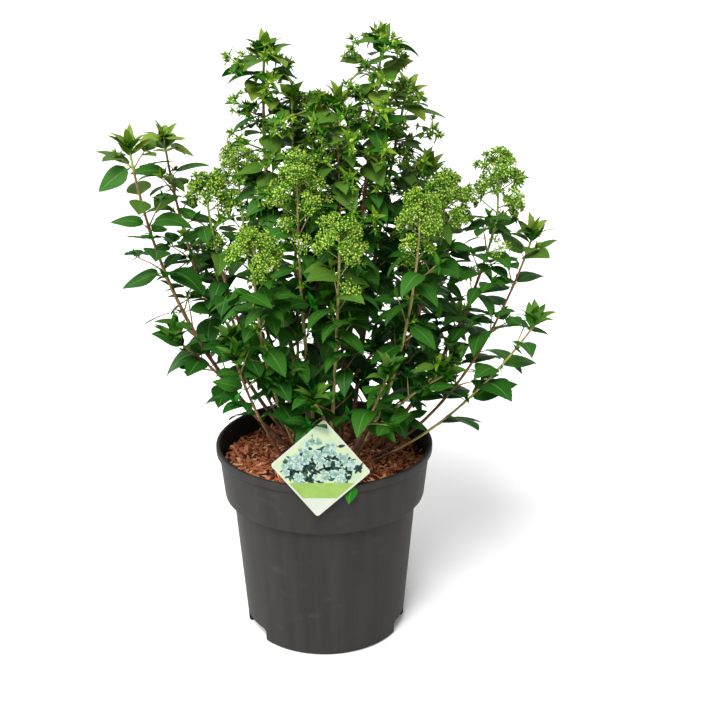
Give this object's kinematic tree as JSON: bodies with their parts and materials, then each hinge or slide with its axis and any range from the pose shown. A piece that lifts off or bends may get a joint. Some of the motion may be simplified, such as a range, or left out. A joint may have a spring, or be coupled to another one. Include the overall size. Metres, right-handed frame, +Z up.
{
  "type": "potted panicle hydrangea",
  "caption": "Bushy flowering shrub in bud with upright leafy stems and open flower heads, growing in a round nursery pot with bark mulch and a plain label.",
  "frame": {"origin": "centre of the pot's flat underside, on the surface it stands on", "axes": "+Z up along the pot's axis, -Y towards the side that shows the label, +X to the right seen from there"},
  "size_m": [0.6087, 0.4755, 0.8773],
  "materials": {
    "pot_plastic": "matt dark grey moulded plastic, lightly scuffed",
    "bark_mulch": "loose reddish brown bark chips over potting mix",
    "card": "coated white card with a pale green band",
    "stake": "off-white moulded plastic",
    "bark": "thin brown bark, reddish on the young wood",
    "foliage": "soft green leaves with a slight sheen and yellow-green flower buds"
  },
  "bodies": {
    "root": {"pot": "pot_plastic", "bark_mulch": "bark_mulch", "label_card": "card", "label_stake": "stake", "stem_centre_left": "bark", "stem_centre_rear": "bark", "stem_far_left": "bark", "stem_far_right": "bark", "stem_front_centre": "bark", "stem_front_left": "bark", "stem_front_right": "bark", "stem_left_inner": "bark", "stem_left_rear": "bark", "stem_low_front": "bark", "stem_low_front_left": "bark", "stem_low_right": "bark", "stem_rear": "bark", "stem_rear_left": "bark", "stem_rear_low": "bark", "stem_rear_right": "bark", "stem_right": "bark", "stem_right_inner": "bark", "stem_right_rear": "bark", "stem_tall_left": "bark", "stem_tall_rear": "bark", "stem_tall_right": "bark", "foliage_centre_left": "foliage", "foliage_centre_low": "foliage", "foliage_centre_rear": "foliage", "foliage_far_left": "foliage", "foliage_far_right": "foliage", "foliage_front_centre": "foliage", "foliage_front_left": "foliage", "foliage_front_low": "foliage", "foliage_front_right": "foliage", "foliage_front_right_low": "foliage", "foliage_left_inner": "foliage", "foliage_left_low": "foliage", "foliage_left_middle": "foliage", "foliage_left_rear": "foliage", "foliage_low_front": "foliage", "foliage_low_front_left": "foliage", "foliage_low_right": "foliage", "foliage_middle_low": "foliage", "foliage_rear": "foliage", "foliage_rear_inner": "foliage", "foliage_rear_left": "foliage", "foliage_rear_low": "foliage", "foliage_rear_low_middle": "foliage", "foliage_rear_right": "foliage", "foliage_rear_right_low": "foliage", "foliage_right": "foliage", "foliage_right_inner": "foliage", "foliage_right_low": "foliage", "foliage_right_rear": "foliage", "foliage_tall_left": "foliage", "foliage_tall_rear": "foliage", "foliage_tall_right": "foliage", "foliage_upper_left": "foliage", "foliage_upper_middle": "foliage"}
  },
  "joints": []
}
